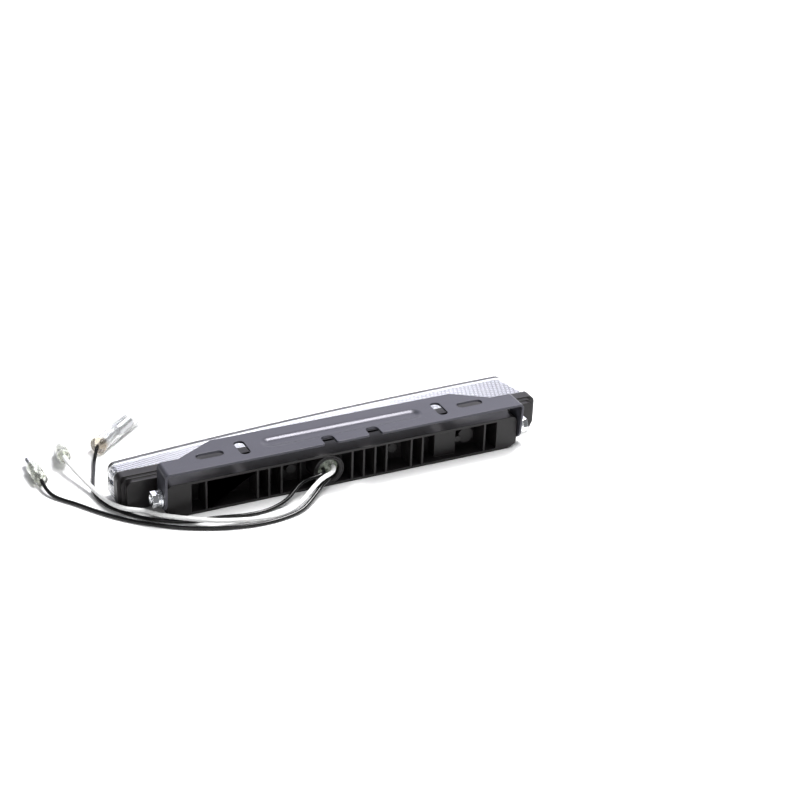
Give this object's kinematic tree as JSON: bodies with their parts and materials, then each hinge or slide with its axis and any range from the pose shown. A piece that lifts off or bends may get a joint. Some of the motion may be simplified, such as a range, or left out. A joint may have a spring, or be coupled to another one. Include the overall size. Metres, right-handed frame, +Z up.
{
  "type": "daytime running light",
  "caption": "Slim car daytime running lamp with a clear tapered lens, ribbed black housing, slotted steel tilt bracket and short flying leads with bullet terminals.",
  "frame": {"origin": "under the middle of the lamp, on the surface that it stands on", "axes": "+X along the lamp towards the deep end of the lens, +Y out through the lens, +Z up through the bracket plate"},
  "size_m": [0.2505, 0.1199, 0.0256],
  "materials": {
    "housing": "fine satin moulding texture",
    "clear_lens": "clear, polished front with a finely scored rim",
    "seal": "soft silicone",
    "reflector": "vacuum-metallised",
    "board_white": "white solder mask",
    "diode": "yellow phosphor under clear silicone",
    "zinc_steel": "bright zinc plate",
    "board_green": "green solder mask",
    "electronics": "moulded packages",
    "brass": "turned",
    "grommet": "translucent soft plastic",
    "bracket_paint": "satin dark blue-grey coat",
    "lead_white": "glossy insulation",
    "lead_black": "glossy insulation",
    "tin": "tinned",
    "sleeve": "milky translucent"
  },
  "bodies": {
    "lamp": {"housing": "housing", "lens_cover": "clear_lens", "lens_seal": "seal", "reflector": "reflector", "led_board": "board_white", "leds": "diode", "board_screws": "zinc_steel", "driver_board": "board_green", "driver_parts": "electronics", "link_pins": "brass", "lead_grommet": "grommet", "threaded_inserts": "brass", "pivot_bolts": "zinc_steel", "spring_washers": "zinc_steel", "flat_washers": "zinc_steel", "white_lead": "lead_white", "black_lead_front": "lead_black", "black_lead_rear": "lead_black", "white_bullet": "tin", "white_bullet_sleeve": "sleeve", "black_bullet": "tin", "black_bullet_sleeve": "sleeve", "socket_terminal": "tin", "socket_sleeve": "sleeve"},
    "bracket": {"bracket": "bracket_paint"}
  },
  "joints": [
    {"name": "bracket_tilt", "type": "hinge", "parent": "lamp", "child": "bracket", "pos_m": [0, -0.0162, 0.0102], "axis": [1, 0, 0], "range_deg": [-12, 60]}
  ]
}
